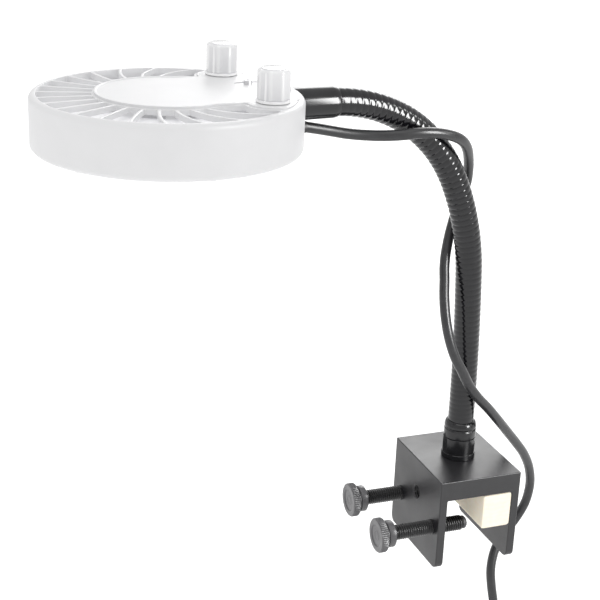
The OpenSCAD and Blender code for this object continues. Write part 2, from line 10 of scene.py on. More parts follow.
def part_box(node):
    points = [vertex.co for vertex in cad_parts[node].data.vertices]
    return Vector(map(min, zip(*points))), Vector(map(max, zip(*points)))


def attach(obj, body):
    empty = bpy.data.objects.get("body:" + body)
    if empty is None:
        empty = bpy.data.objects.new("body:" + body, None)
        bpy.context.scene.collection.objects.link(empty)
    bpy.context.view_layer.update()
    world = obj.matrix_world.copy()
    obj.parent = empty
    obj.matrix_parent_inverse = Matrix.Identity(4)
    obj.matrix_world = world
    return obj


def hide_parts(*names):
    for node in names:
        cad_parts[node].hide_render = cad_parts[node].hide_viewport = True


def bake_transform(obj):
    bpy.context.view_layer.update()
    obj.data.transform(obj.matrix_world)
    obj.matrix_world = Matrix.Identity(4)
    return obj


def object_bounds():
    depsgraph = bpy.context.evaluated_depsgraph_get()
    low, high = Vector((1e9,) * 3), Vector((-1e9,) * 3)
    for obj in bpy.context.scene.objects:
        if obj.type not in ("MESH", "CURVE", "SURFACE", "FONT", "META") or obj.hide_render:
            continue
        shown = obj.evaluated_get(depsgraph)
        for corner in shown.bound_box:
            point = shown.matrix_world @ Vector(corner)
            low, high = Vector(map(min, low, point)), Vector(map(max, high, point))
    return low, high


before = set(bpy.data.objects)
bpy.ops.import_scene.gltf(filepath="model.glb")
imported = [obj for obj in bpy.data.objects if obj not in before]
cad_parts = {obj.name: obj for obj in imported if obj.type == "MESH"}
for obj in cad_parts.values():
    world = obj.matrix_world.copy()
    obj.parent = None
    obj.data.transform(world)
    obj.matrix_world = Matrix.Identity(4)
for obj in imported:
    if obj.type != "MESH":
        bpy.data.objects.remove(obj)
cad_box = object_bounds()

# Round LED lamp head on a gooseneck, with a clamp, a power cord and its plug. Every shape is worked
# out in millimetres, in the CAD part's frame, and is scaled to metres as its mesh is made.
MM = 0.001
TAU = 2 * math.pi
ALONG_X = Matrix.Rotation(math.pi / 2, 4, "Y")

# ---------- camera ----------

# Place in metres, angles in degrees, lens in millimetres
CAMERA_AT = (-0.3205, -0.5807, 0.3389)
CAMERA_AZIMUTH = 21.33
CAMERA_DOWN = 20.35
CAMERA_ROLL = 2.32
CAMERA_LENS = 82.2


def make_camera():
    a, e, r = (math.radians(v) for v in (CAMERA_AZIMUTH, CAMERA_DOWN, CAMERA_ROLL))
    look = Vector((math.sin(a) * math.cos(e), math.cos(a) * math.cos(e), -math.sin(e)))
    level = Vector((math.cos(a), -math.sin(a), 0))
    lift = level.cross(look)
    right = math.cos(r) * level + math.sin(r) * lift
    up = math.cos(r) * lift - math.sin(r) * level
    data = bpy.data.cameras.new("camera")
    data.lens, data.sensor_width = CAMERA_LENS, 36
    data.clip_start, data.clip_end = 0.05, 50
    camera = bpy.data.objects.new("camera", data)
    bpy.context.scene.collection.objects.link(camera)
    turn = Matrix((right, up, -look)).transposed().to_4x4()
    camera.matrix_world = Matrix.Translation(CAMERA_AT) @ turn
    bpy.context.scene.camera = camera


make_camera()

# ---------- materials ----------


def material(name, colour, vary=0.05, grain=500, rough=0.45, rough_vary=0.06, bump=0.01, bump_grain=2500,
             bands=None, edge=None, **sockets):
    """Procedural finish: cloudy colour, uneven roughness and a fine relief, with bands or lighter edges."""
    made = bpy.data.materials.new(name)
    made.use_nodes = True
    nodes, links = made.node_tree.nodes, made.node_tree.links
    shader = nodes["Principled BSDF"]
    for socket, value in sockets.items():
        shader.inputs[socket.replace("_", " ")].default_value = value
    where = nodes.new("ShaderNodeTexCoord")

    def noise(scale, detail):
        node = nodes.new("ShaderNodeTexNoise")
        node.inputs["Scale"].default_value = scale
        node.inputs["Detail"].default_value = detail
        links.new(where.outputs["Object"], node.inputs["Vector"])
        return node.outputs["Fac"]

    def mix(factor, one, two):
        node = nodes.new("ShaderNodeMix")
        node.data_type = "RGBA"
        links.new(factor, node.inputs["Factor"])
        for socket, value in zip(node.inputs[6:8], (one, two)):
            if hasattr(value, "links"):
                links.new(value, socket)
            else:
                socket.default_value = (*value, 1)
        return node.outputs[2]

    def spread(source, low, high, start=0.3, end=0.7):
        node = nodes.new("ShaderNodeMapRange")
        for socket, value in zip(node.inputs[1:5], (start, end, low, high)):
            socket.default_value = value
        links.new(source, node.inputs["Value"])
        return node.outputs["Result"]

    cloud = noise(grain, 5)
    shades = [tuple(min(1, c * (1 + side * vary)) for c in colour) for side in (-1, 1)]
    tint = mix(spread(cloud, 0, 1), *shades)
    height = noise(bump_grain, 3)
    if bands:
        wave = nodes.new("ShaderNodeTexWave")
        wave.wave_type = bands.get("type", "BANDS")
        if wave.wave_type == "RINGS":
            wave.rings_direction = bands["axis"]
        else:
            wave.bands_direction = bands["axis"]
        wave.inputs["Scale"].default_value = bands["scale"]
        wave.inputs["Distortion"].default_value = bands.get("wobble", 0)
        wave.inputs["Detail"].default_value = 3
        shift = nodes.new("ShaderNodeMapping")
        shift.inputs["Location"].default_value = [-c for c in bands.get("centre", (0, 0, 0))]
        links.new(where.outputs["Object"], shift.inputs["Vector"])
        links.new(shift.outputs["Vector"], wave.inputs["Vector"])
        tint = mix(spread(wave.outputs["Fac"], 0, bands["show"], 0, 1), tint, bands["colour"])
        both = nodes.new("ShaderNodeMath")
        links.new(height, both.inputs[0])
        links.new(spread(wave.outputs["Fac"], 0, bands.get("depth", 1), 0, 1), both.inputs[1])
        height = both.outputs[0]
    if edge:
        geometry = nodes.new("ShaderNodeNewGeometry")
        tint = mix(spread(geometry.outputs["Pointiness"], 0, 1, 0.505, 0.56), tint, edge)
    links.new(tint, shader.inputs["Base Color"])
    wear = spread(noise(grain * 0.3, 3), rough - rough_vary, rough + rough_vary)
    links.new(wear, shader.inputs["Roughness"])
    relief = nodes.new("ShaderNodeBump")
    relief.inputs["Strength"].default_value = 1
    relief.inputs["Distance"].default_value = bump * MM
    links.new(height, relief.inputs["Height"])
    links.new(relief.outputs["Normal"], shader.inputs["Normal"])
    return made


# ---------- meshes ----------


def linked(name, mesh):
    made = bpy.data.objects.new(name, mesh)
    bpy.context.scene.collection.objects.link(made)
    return made


def solid(name, points, faces, at=Matrix.Identity(4)):
    """A closed mesh from points in millimetres, placed by a matrix that is in millimetres too."""
    points = np.asarray(points, float).reshape(-1, 3)
    turn = np.array(at, float)
    points = (points @ turn[:3, :3].T + turn[:3, 3]) * MM
    mesh = bpy.data.meshes.new(name)
    mesh.from_pydata(points.tolist(), [], [list(f) for f in faces])
    shape = bmesh.new()
    shape.from_mesh(mesh)
    bmesh.ops.recalc_face_normals(shape, faces=shape.faces)
    shape.to_mesh(mesh)
    shape.free()
    return linked(name, mesh)


def skin(rings, closed=False):
    """Points and faces of a surface through rings of points. It has flat end caps, or meets its own start."""
    rings = np.asarray(rings, float)
    count, sides = rings.shape[:2]
    index = np.arange(count * sides).reshape(count, sides)
    ends = np.vstack([index[1:], index[:1]]) if closed else index[1:]
    starts = index if closed else index[:-1]
    quads = np.stack([starts, ends, np.roll(ends, -1, 1), np.roll(starts, -1, 1)], -1).reshape(-1, 4).tolist()
    if not closed:
        quads += [index[0].tolist(), index[-1][::-1].tolist()]
    return rings.reshape(-1, 3), quads


def soften(profile, radius, steps=4, closed=False):
    """The profile with each corner rounded."""
    points = [np.array(p, float) for p in profile]
    out = []
    for i, p in enumerate(points):
        if not closed and i in (0, len(points) - 1):
            out.append(p)
            continue
        back, on = points[i - 1] - p, points[(i + 1) % len(points)] - p
        reach = min(radius, 0.45 * np.linalg.norm(back), 0.45 * np.linalg.norm(on))
        a, b = (p + reach * v / np.linalg.norm(v) for v in (back, on))
        for t in np.linspace(0, 1, steps):
            out.append((1 - t) ** 2 * a + 2 * t * (1 - t) * p + t * t * b)
    return out


def lathe(name, profile, at=Matrix.Identity(4), sides=96, closed=False, shape=None):
    """A turned solid from [radius, height] pairs. shape(angle, radius, height) may change the radius."""
    turn = np.linspace(0, TAU, sides, endpoint=False)
    rings = []
    for r, z in profile:
        radius = shape(turn, r, z) if shape else np.full(sides, r)
        rings.append(np.stack([radius * np.cos(turn), radius * np.sin(turn), np.full(sides, z)], -1))
    return solid(name, *skin(rings, closed), at)


def frames_along(path):
    """Two cross directions at each point of a path, turning as little as they can."""
    along = np.gradient(path, axis=0)
    along /= np.linalg.norm(along, axis=1)[:, None]
    side = np.cross(along[0], (0.35, 0.85, 0.4))
    sides = []
    for t in along:
        side = side - t * (side @ t)
        side /= np.linalg.norm(side)
        sides.append(side)
    sides = np.array(sides)
    return sides, np.cross(along, sides)


def swept(path, across, over, radius, count):
    """Rings of a round section that follows a path."""
    turn = np.linspace(0, TAU, count, endpoint=False)[None, :, None]
    return path[:, None] + radius * (np.cos(turn) * across[:, None] + np.sin(turn) * over[:, None])


def apply_modifiers(obj):
    """Turns what the modifiers make of the mesh into the mesh itself."""
    graph = bpy.context.evaluated_depsgraph_get()
    obj.data = bpy.data.meshes.new_from_object(obj.evaluated_get(graph))
    obj.modifiers.clear()


def combine(obj, others, operation="DIFFERENCE"):
    """Cuts the others out of a solid, or joins them to it, one by one."""
    for other in others:
        step = obj.modifiers.new("combine", "BOOLEAN")
        step.object, step.operation, step.solver = other, operation, "EXACT"
        apply_modifiers(obj)
        bpy.data.objects.remove(other)


def bevelled(obj, width, segments=3, angle=30):
    step = obj.modifiers.new("bevel", "BEVEL")
    step.width, step.segments, step.limit_method = width * MM, segments, "ANGLE"
    step.angle_limit = math.radians(angle)
    apply_modifiers(obj)


def shaded(obj, angle=40, weighted=False):
    """Smooth shading with sharp edges above an angle in degrees, and flat faces kept flat if weighted."""
    obj.data.shade_smooth()
    obj.data.set_sharp_from_angle(angle=math.radians(angle))
    if weighted:
        step = obj.modifiers.new("normals", "WEIGHTED_NORMAL")
        step.keep_sharp = True


def piece(obj, finish, body, nodes=(), angle=40, weighted=False):
    """Gives a rigid piece its finish, and makes it ride on its body in place of the CAD nodes."""
    shaded(obj, angle, weighted)
    obj.data.materials.clear()
    obj.data.materials.append(finish)
    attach(obj, body)
    if nodes:
        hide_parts(*nodes)
    return obj


def bending(obj, finish, zone, nodes):
    """Gives a piece along the gooseneck its finish and smooth shading, fixes its place in its mesh, and shows
    it in place of the CAD nodes.
    """
    shaded(obj)
    obj.data.materials.append(finish)
    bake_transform(obj)
    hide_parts(*nodes)
    return obj


# ---------- gooseneck line ----------

# Three arcs, each [radius, heading at its end]. A heading of 0 points up and one of 90 points at the head.
ARCS = ((1180, 4), (134, 26), (75, 90))
NECK_START_Z = 32
NECK_FOOT = -7.5
NECK_R = 6.8
MOUTH_GAP = 1.6
BEND_HEADINGS = (1.36, 4, 19, 36, 55.5, 87.5)
# How far each bend reaches, before and after its joint
BEND_REACH = ((20, 20), (13.5, 13.5), (11, 11), (9, 9), (9, 9), (14, 0.5))
BODIES = ("root", "neck_2", "neck_3", "neck_4", "neck_5", "neck_6", "head")
# Where one piece of the cover, or of the cord, ends and the next starts, along the gooseneck
COVER_CUTS = (55.2, 100, 132.2, 159.7, 193.4)
CORD_CUTS = (57, 98, 130, 162, 197)

head_low, head_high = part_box("head_housing")
head_middle = (head_low + head_high) / 2 / MM
SWING = math.atan2(-head_middle.y, -head_middle.x)
HEAD = Matrix.Translation((head_middle.x, head_middle.y, head_high.z / MM)) @ Matrix.Rotation(SWING, 4, "Z")
HEAD_X = HEAD @ ALONG_X
# Where the gooseneck enters the head, below its top
NECK_HOLE_DROP = 8


def arc_length(i):
    start = ARCS[i - 1][1] if i else 0
    return ARCS[i][0] * math.radians(ARCS[i][1] - start)


def along_neck(heading):
    """Distance along the gooseneck, from the top of the base ferrule, to where it has this heading."""
    total, start = 0, 0
    for i, (radius, end) in enumerate(ARCS):
        if heading <= end or i == len(ARCS) - 1:
            return total + radius * math.radians(heading - start)
        total, start = total + arc_length(i), end


def neck_at(s):
    """Centre, direction, outward normal and sideways direction at distances along the gooseneck."""
    s = np.atleast_1d(np.asarray(s, float))
    x, z, heading = np.zeros_like(s), np.zeros_like(s), np.zeros_like(s)
    centre, start, before = np.array([-ARCS[0][0], NECK_START_Z], float), 0.0, 0.0
    for i, (radius, end) in enumerate(ARCS):
        here = s >= before if i else np.full(s.shape, True)
        turn = math.radians(start) + (s[here] - before) / radius
        heading[here] = turn
        x[here], z[here] = centre[0] + radius * np.cos(turn), centre[1] + radius * np.sin(turn)
        if i < len(ARCS) - 1:
            edge = math.radians(end)
            centre = centre + (radius - ARCS[i + 1][0]) * np.array([math.cos(edge), math.sin(edge)])
            before, start = before + arc_length(i), end
    c, d = math.cos(SWING), math.sin(SWING)
    flat = np.stack([np.cos(heading), np.sin(heading)], -1)
    middle = np.stack([x * c, x * d, z], -1)
    along = np.stack([-flat[:, 1] * c, -flat[:, 1] * d, flat[:, 0]], -1)
    outward = np.stack([flat[:, 0] * c, flat[:, 0] * d, flat[:, 1]], -1)
    sideways = np.broadcast_to(np.array([-d, c, 0.0]), middle.shape)
    return middle, along, outward, sideways


BENDS = [along_neck(h) for h in BEND_HEADINGS]
NECK_END = BENDS[-1] + MOUTH_GAP


def bend_zone(k):
    """Start and end of bend number k, as points on the gooseneck's centre line."""
    low, high = BENDS[k] - BEND_REACH[k][0], BENDS[k] + BEND_REACH[k][1]
    return neck_at([low, high])[0]


# ---------- cord ----------

CORD_D = 5.2
CORD_STEP = 1.5
CORD_SIDES = 16
# The cord keeps within this distance of the gooseneck while it follows it
CORD_NEAR = 40
# From the head, round the gooseneck and past the clamp, down to the hank
ROUTE = [
    [-97, -6, 194.9], [-90, -6, 193.6], [-82, -6.2, 192],
    [-78.4, -6.5, 191.3], [-67, -8, 190], [-56, -11, 190], [-49, -13, 190.6], [-43.5, -13.8, 191.2],
    [-39.5, -14, 191.2], [-32, -13.6, 190.6], [-24.4, -12, 188.6], [-17.9, -9, 185.6], [-13.8, -6, 182.4],
    [-11.6, -3.8, 180], [-7.2, 1.8, 173.2], [-4.2, 6.6, 165.6], [-3, 9.9, 158.2], [-4, 11.4, 152],
    [-5.4, 11.6, 148], [-8.2, 10.8, 138.5], [-11.4, 8.4, 129], [-14.2, 4.8, 120.5], [-15.4, 2.4, 115.8],
    [-16, 0.4, 112.2], [-17.8, -4.5, 103.5], [-18.4, -9, 94], [-17.2, -12.4, 84], [-13.8, -14, 74],
    [-9, -14.2, 65.5], [-7.2, -14, 62.2],
    [-5, -13.6, 58.4], [1.5, -12.2, 50], [10.3, -9, 41], [19.5, -4.8, 31], [28.5, 0, 21], [37.5, 5, 11],
    [47.5, 10.5, -1], [55, 15.5, -14], [58.5, 19, -26.5], [57.5, 20.5, -38],
    [52, 20.2, -47.5], [43.8, 17.8, -54.5], [37.2, 14.6, -62.5], [34, 11.4, -72], [34, 8.8, -82],
    [35.4, 7.2, -92], [36.4, 6.5, -101.5], [36.5, 6.5, -113],
]
# Hank of the spare length, whose folds have their middles HANK_X from the clamp's middle
HANK_TURNS = 4
FOLD_R = 15.6
RUN_LENGTH = 78
TURN_PITCH = 5.3
HANK_TOP = -124
PLUG_TOP = HANK_TOP - RUN_LENGTH - 8
PLUG_X, HANK_Y = ROUTE[-1][0], ROUTE[-1][1]
PLUG_Y = HANK_Y + HANK_TURNS * TURN_PITCH
HANK_X = PLUG_X - FOLD_R


def hank_points():
    """Long turns side by side, down at the plug's side and up at the other, then down to the plug."""
    def fold(y, z, way):
        half_turns = [(t, math.pi * t) for t in np.linspace(0, 1, 17)[1:-1]]
        return [(HANK_X + way * FOLD_R * math.cos(a), y + TURN_PITCH / 2 * t, z - way * FOLD_R * math.sin(a))
                for t, a in half_turns]

    low = HANK_TOP - RUN_LENGTH
    points = []
    for turn in range(HANK_TURNS):
        y = HANK_Y + TURN_PITCH * turn
        points += [(PLUG_X, y, z) for z in np.linspace(HANK_TOP, low, 9)]
        points += fold(y, low, 1)
        y += TURN_PITCH / 2
        points += [(HANK_X - FOLD_R, y, z) for z in np.linspace(low, HANK_TOP, 9)]
        points += fold(y, HANK_TOP, -1)
    return points + [(PLUG_X, PLUG_Y, z) for z in np.linspace(HANK_TOP, PLUG_TOP, 9)]


def smooth_line(points, step):
    """Evenly spaced points on one smooth curve through all the given ones."""
    points = np.asarray(points, float)
    knots = np.concatenate([[0], np.cumsum(np.linalg.norm(np.diff(points, axis=0), axis=1))])
    slopes = np.gradient(points, knots, axis=0)
    fine = np.linspace(0, knots[-1], int(knots[-1] / 0.4))
    i = np.clip(np.searchsorted(knots, fine, side="right") - 1, 0, len(points) - 2)
    h = (knots[i + 1] - knots[i])[:, None]
    t = (fine - knots[i])[:, None] / h
    curve = ((1 + 2 * t) * (1 - t) ** 2 * points[i] + t * (1 - t) ** 2 * h * slopes[i]
             + t * t * (3 - 2 * t) * points[i + 1] + t * t * (t - 1) * h * slopes[i + 1])
    run = np.concatenate([[0], np.cumsum(np.linalg.norm(np.diff(curve, axis=0), axis=1))])
    even = np.linspace(0, run[-1], int(run[-1] / step) + 1)
    return np.stack([np.interp(even, run, curve[:, axis]) for axis in range(3)], -1)


def cord_cut(path, s):
    """Index of the path point that is level with a place on the gooseneck."""
    middle, along = (v[0] for v in neck_at(s)[:2])
    ahead = (path - middle) @ along
    near = np.linalg.norm(path - middle, axis=1) < CORD_NEAR
    return int(np.flatnonzero((ahead[:-1] >= 0) & (ahead[1:] < 0) & near[1:])[0] + 1)


CORD_BLACK = material("cord_pvc", (0.032, 0.032, 0.034), vary=0.2, grain=180, rough=0.3, rough_vary=0.05,
                      bump=0.012, bump_grain=1400, Specular_IOR_Level=0.45)


def make_cord():
    """The cord in pieces: one across each joint of the gooseneck, and one from the clamp to the plug."""
    path = smooth_line(ROUTE + hank_points(), CORD_STEP)
    rings = swept(path, *frames_along(path), CORD_D / 2, CORD_SIDES)
    cuts = [0] + [cord_cut(path, s) for s in reversed((NECK_FOOT + 9, *CORD_CUTS))] + [len(path) - 1]
    nodes = ["cord_head"] + [f"cord_span_{k}" for k in range(6, 1, -1)] + ["cord_tail"]
    made = []
    for i, (a, b) in enumerate(zip(cuts[:-1], cuts[1:])):
        line = path[a:b + 1]
        obj = solid(f"cord_{i + 1}", *skin(rings[a:b + 1]))
        k = 5 - i
        if k >= 0:
            bending(obj, CORD_BLACK, bend_zone(k), [nodes[i]])
        else:
            piece(obj, CORD_BLACK, "root", ["cord_tail", "cord_hank"])
        made.append((obj, line * MM))
    return made


cord = make_cord()

# ---------- plug and tie ----------

RELIEF_H = 12
GRIP_H = 24
GRIP_R = 5.2
BARREL_R = 2.75
BARREL_H = 9.5
PLUG_AT = Matrix.Translation((PLUG_X, PLUG_Y, PLUG_TOP))
RUBBER = material("moulded_rubber", (0.024, 0.024, 0.026), vary=0.15, grain=260, rough=0.55, bump=0.02,
                  bump_grain=2200, edge=(0.06, 0.06, 0.065))
PLUG_METAL = material("nickel", (0.62, 0.62, 0.60), vary=0.06, grain=400, rough=0.26, Metallic=1.0,
                      bands={"type": "RINGS", "axis": "Z", "scale": 900, "show": 0.1,
                             "colour": (0.4, 0.4, 0.4), "centre": (PLUG_X * MM, PLUG_Y * MM, 0)})


def make_plug():
    top = [[CORD_D / 2 + 0.05, 0], [CORD_D / 2 + 0.5, 0]]
    for i in range(5):
        z, r = -1.4 - 2.1 * i, 3.1 + 0.2 * i
        top += [[r, z], [r, z - 1], [r - 0.55, z - 1.2], [r - 0.55, z - 1.9]]
    grip = [[GRIP_R - 1, -RELIEF_H], [GRIP_R, -RELIEF_H - 1.2]]
    for i in range(4):
        z = -RELIEF_H - 5 - 2.6 * i
        grip += [[GRIP_R, z], [GRIP_R - 0.4, z - 0.4], [GRIP_R - 0.4, z - 1], [GRIP_R, z - 1.4]]
    end = -RELIEF_H - GRIP_H
    profile = top + grip + [[GRIP_R, end + 1.2], [GRIP_R - 1, end], [BARREL_R, end]]
    holder = lathe("plug_body", soften(profile, 0.3, 3), PLUG_AT, 72)
    piece(holder, RUBBER, "root", ["plug_grip"])
    tip = end - BARREL_H
    groove_r = BARREL_R - 0.12
    tube = [[BARREL_R, end], [BARREL_R, tip + 1.6], [groove_r, tip + 1.5], [groove_r, tip + 1.1],
            [BARREL_R, tip + 1], [BARREL_R, tip], [1.25, tip], [1.25, end - 1], [0.4, end - 1], [0.4, end]]
    barrel = lathe("plug_contact", soften(tube, 0.15, 3, True), PLUG_AT, 64, closed=True)
    piece(barrel, PLUG_METAL, "root", ["plug_barrel"])
    return [holder, barrel]


TIE_T = 1.2
TIE_H = 12


def rounded_loop(half_x, half_y, radius, steps=8):
    loop = []
    for cx, cy, first in ((1, 1, 0), (-1, 1, 1), (-1, -1, 2), (1, -1, 3)):
        for t in np.linspace(0, 1, steps):
            a = (first + t) * math.pi / 2
            loop.append((cx * (half_x - radius) + radius * math.cos(a),
                         cy * (half_y - radius) + radius * math.sin(a)))
    return np.array(loop)


def make_tie():
    """A soft strap round the hank."""
    half_x, half_y = FOLD_R + CORD_D / 2, (PLUG_Y - HANK_Y + CORD_D) / 2
    rings = []
    for grow, z in soften([[0, -1], [1, -1], [1, 1], [0, 1]], 0.4, 3, True):
        loop = rounded_loop(half_x + grow * TIE_T, half_y + grow * TIE_T, 2.2 + grow * TIE_T)
        rings.append(np.column_stack([loop, np.full(len(loop), z * TIE_H / 2)]))
    at = Matrix.Translation((HANK_X, (HANK_Y + PLUG_Y) / 2, HANK_TOP - RUN_LENGTH / 2))
    strap = solid("tie_strap", *skin(rings, True), at)
    piece(strap, RUBBER, "root", ["hank_tie"])
    return strap


plug = make_plug()
tie = make_tie()

# ---------- gooseneck pieces ----------

COVER_BORE = 5.3
COIL_R = 4.35
COIL_WIRE = 0.75
COIL_PITCH = 1.6
RIB_PITCH_LOW, RIB_PITCH_HIGH = 2.6, 3.5
RIB_DEPTH = 0.15
RIB_DEPTH_IN_BEND = 0.4
# Distance between the rings of points on the cover's outside, and in its bore
COVER_STEP, BORE_STEP = 0.36, 2.5
COLLAR_LOW, COLLAR_HIGH, COLLAR_R = 11, 22.5, 8.45
FLATS_LOW, FLATS_HALF = 14.01, 8

NECK_GLOSS = material("neck_skin", (0.006, 0.006, 0.0075), vary=0.3, grain=220, rough=0.13, rough_vary=0.06,
                      bump=0.01, bump_grain=900, Specular_IOR_Level=0.5)
SPRING_STEEL = material("coil_steel", (0.42, 0.42, 0.43), vary=0.12, grain=700, rough=0.32, Metallic=1.0)
FERRULE_BLACK = material("ferrule_enamel", (0.010, 0.010, 0.0115), vary=0.25, grain=300, rough=0.18,
                         rough_vary=0.04, bump=0.006, bump_grain=1200, Specular_IOR_Level=0.5)


def rib_turns(s):
    """Turns of the winding up to a distance along the gooseneck. Its pitch grows towards the head."""
    growth = (RIB_PITCH_HIGH - RIB_PITCH_LOW) / NECK_END
    return np.log(1 + growth * s / RIB_PITCH_LOW) / growth


def cover_radius(s, turn):
    """Outside of the ribbed cover: a helical groove, deep inside the bend and faint at the ends."""
    phase = (rib_turns(s) - turn / TAU) % 1 - 0.5
    groove = np.exp(-(phase / 0.17) ** 2)
    bend = np.clip((s - 85) / 40, 0, 1) * np.clip((NECK_END - s) / 25, 0, 1)
    faint = 0.35 + 0.65 * np.clip((NECK_END - s) / 16, 0, 1) * np.clip(s / 10, 0, 1)
    inner = np.clip(-np.cos(turn), 0, 1)
    return NECK_R - groove * faint * (RIB_DEPTH + RIB_DEPTH_IN_BEND * bend * inner)


def neck_cover(name, start, end, sides=44):
    """Ribbed tube along one stretch of the gooseneck."""
    turn = np.linspace(0, TAU, sides, endpoint=False)[None, :]

    def rings(s, radius):
        middle, _, outward, sideways = (v[:, None] for v in neck_at(s))
        r = radius[..., None]
        return middle + r * (np.cos(turn)[..., None] * outward + np.sin(turn)[..., None] * sideways)

    s = np.linspace(start, end, int((end - start) / COVER_STEP) + 1)
    outside = rings(s, cover_radius(s[:, None], turn))
    s = np.linspace(end, start, int((end - start) / BORE_STEP) + 2)
    inside = rings(s, np.full((len(s), sides), COVER_BORE))
    return solid(name, *skin(np.concatenate([outside, inside]), closed=True))


def neck_coil(name, start, end):
    """Spring inside one stretch of the cover."""
    s = np.arange(start + COIL_WIRE, end - COIL_WIRE, COIL_PITCH / 16)
    turn = (s / COIL_PITCH * TAU)[:, None]
    middle, along, outward, sideways = neck_at(s)
    out = np.cos(turn) * outward + np.sin(turn) * sideways
    return solid(name, *skin(swept(middle + COIL_R * out, out, along, COIL_WIRE, 8)))


def make_neck():
    """Cover and spring in six lengths, the collar and the cup at the clamp, and the ferrule at the head."""
    cuts = [NECK_FOOT, *COVER_CUTS, NECK_END]
    for k, (start, end) in enumerate(zip(cuts[:-1], cuts[1:])):
        bodies, zone = (BODIES[k], BODIES[k + 1]), bend_zone(k)
        cover = neck_cover(f"neck_cover_{k + 1}", start, end)
        bending(cover, NECK_GLOSS, zone, [f"neck_sleeve_{k + 1}"])
        coil = neck_coil(f"neck_coil_{k + 1}", start, end)
        bending(coil, SPRING_STEEL, zone, [f"neck_spring_{k + 1}"])

    def flats(turn, r, z):
        across = FLATS_HALF / np.maximum(np.abs(np.cos(turn)), 1e-6)
        return np.minimum(r, across) if z > FLATS_LOW else np.full(turn.shape, r)

    collar = [[4, COLLAR_LOW], [8.7, COLLAR_LOW], [8.9, 11.2], [8.9, 13.8], [8.7, 14], [COLLAR_R, 14.02],
              [COLLAR_R, 22.4], [COLLAR_R - 0.1, COLLAR_HIGH], [4, COLLAR_HIGH]]
    made = lathe("neck_collar", collar, sides=144, closed=True, shape=flats)
    piece(made, FERRULE_BLACK, "root", ["neck_base_collar"], 30)
    cup = [[0.5, COLLAR_HIGH], [8.1, COLLAR_HIGH], [8.4, 22.9], [8.4, 27.2], [8, 27.6], [8, 28], [8.4, 28.4],
           [8.4, 29.6], [7.9, 31.2], [7.1, 32], [6.86, 32], [6.86, 24.4], [0.5, 24.4]]
    made = lathe("neck_cup", soften(cup, 0.35, 4, True), closed=True)
    piece(made, FERRULE_BLACK, "root", ["neck_base_ferrule"], 50)
    mouth = (HEAD.inverted() @ Vector(neck_at(NECK_END)[0][0])).x
    plug_in = [[0.5, 37], [4.8, 37], [5, 37.2], [5, 48], [7.5, 48], [7.5, mouth - 2.6], [7.25, mouth - 0.9],
               [6.95, mouth], [3, mouth], [3, 52], [0.5, 52]]
    at = HEAD @ Matrix.Translation((0, 0, -NECK_HOLE_DROP)) @ ALONG_X
    made = lathe("neck_upper_ferrule", soften(plug_in, 0.4, 4, True), at, closed=True)
    piece(made, FERRULE_BLACK, "head", ["neck_top_ferrule"], 50)


make_neck()

# ---------- head ----------

HEAD_R, HEAD_H = 60, 24
WALL_T, ROOF_T, EDGE_R = 3, 2.5, 2.6
HEAD_SIDES = 192
VENT_IN, VENT_OUT, VENT_REAR_X = 33, 56.8, 34
SLOTS_PER_SIDE = 9
RIB_PITCH = 106 / SLOTS_PER_SIDE
RIB_SWEEP, RIB_W = 22, 1.5
PLATE_R, PLATE_HALF, PLATE_RISE = 31, 28.5, 0.7
LIP_W, LIP_H = 1.2, 0.5
KNOB_X, KNOB_Y, BOSS_R = 36.6, 30.9, 11.5
SHAFT_HOLE_R = 3.5
ANCHOR_SCREW_X, ANCHOR_SCREW_Y, ANCHOR_SCREW_R = 41, 9, 1.5
RECESS_FRONT, RECESS_BACK, RECESS_HALF, RECESS_FLOOR = 34.5, 54, 12.5, 0.2
NECK_BORE_R = 7.53
CORD_BORE_R, CORD_HOLE_DROP = 3.12, 18.9
POST_R, SINK_POSTS_AT, BEZEL_POSTS_AT = 3, 27, 54.6
# How far the edges of the openings are eased
EASE = 0.35

HEAD_WHITE = material("head_enamel", (0.73, 0.73, 0.737), vary=0.012, grain=90, rough=0.42, rough_vary=0.05,
                      bump=0.012, bump_grain=1800, Specular_IOR_Level=0.25)
KNOB_WHITE = material("knob_enamel", (0.685, 0.685, 0.70), vary=0.015, grain=240, rough=0.24, rough_vary=0.05,
                      bump=0.005, bump_grain=1500, edge=(0.95, 0.95, 0.95), Coat_Weight=0.5,
                      Coat_Roughness=0.08)


def arc(centre, radius, first, last, step=0.4):
    """Points along an arc between two angles in radians."""
    count = max(2, int(abs(last - first) * radius / step))
    turn = np.linspace(first, last, count)
    return np.stack([centre[0] + radius * np.cos(turn), centre[1] + radius * np.sin(turn)], -1)


def rounded(outline, step, blur):
    """The closed outline, evenly spaced, with its corners eased."""
    loop = np.vstack([outline, outline[:1]])
    run = np.concatenate([[0], np.cumsum(np.linalg.norm(np.diff(loop, axis=0), axis=1))])
    even = np.linspace(0, run[-1], int(run[-1] / step), endpoint=False)
    even = np.stack([np.interp(even, run, loop[:, axis]) for axis in range(2)], -1)
    reach = int(3 * blur / step) + 1
    weights = [math.exp(-0.5 * (i * step / blur) ** 2) for i in range(-reach, reach + 1)]
    return sum(w * np.roll(even, i, 0) for w, i in zip(weights, range(-reach, reach + 1))) / sum(weights)


def grown(outline, distance):
    """The closed outline moved outwards. Its points run anticlockwise."""
    along = np.roll(outline, -1, 0) - np.roll(outline, 1, 0)
    along /= np.linalg.norm(along, axis=1)[:, None]
    return outline + distance * np.stack([along[:, 1], -along[:, 0]], -1)


def anticlockwise(outline):
    x, y = outline.T
    return outline if np.sum(x * np.roll(y, -1) - y * np.roll(x, -1)) > 0 else outline[::-1]


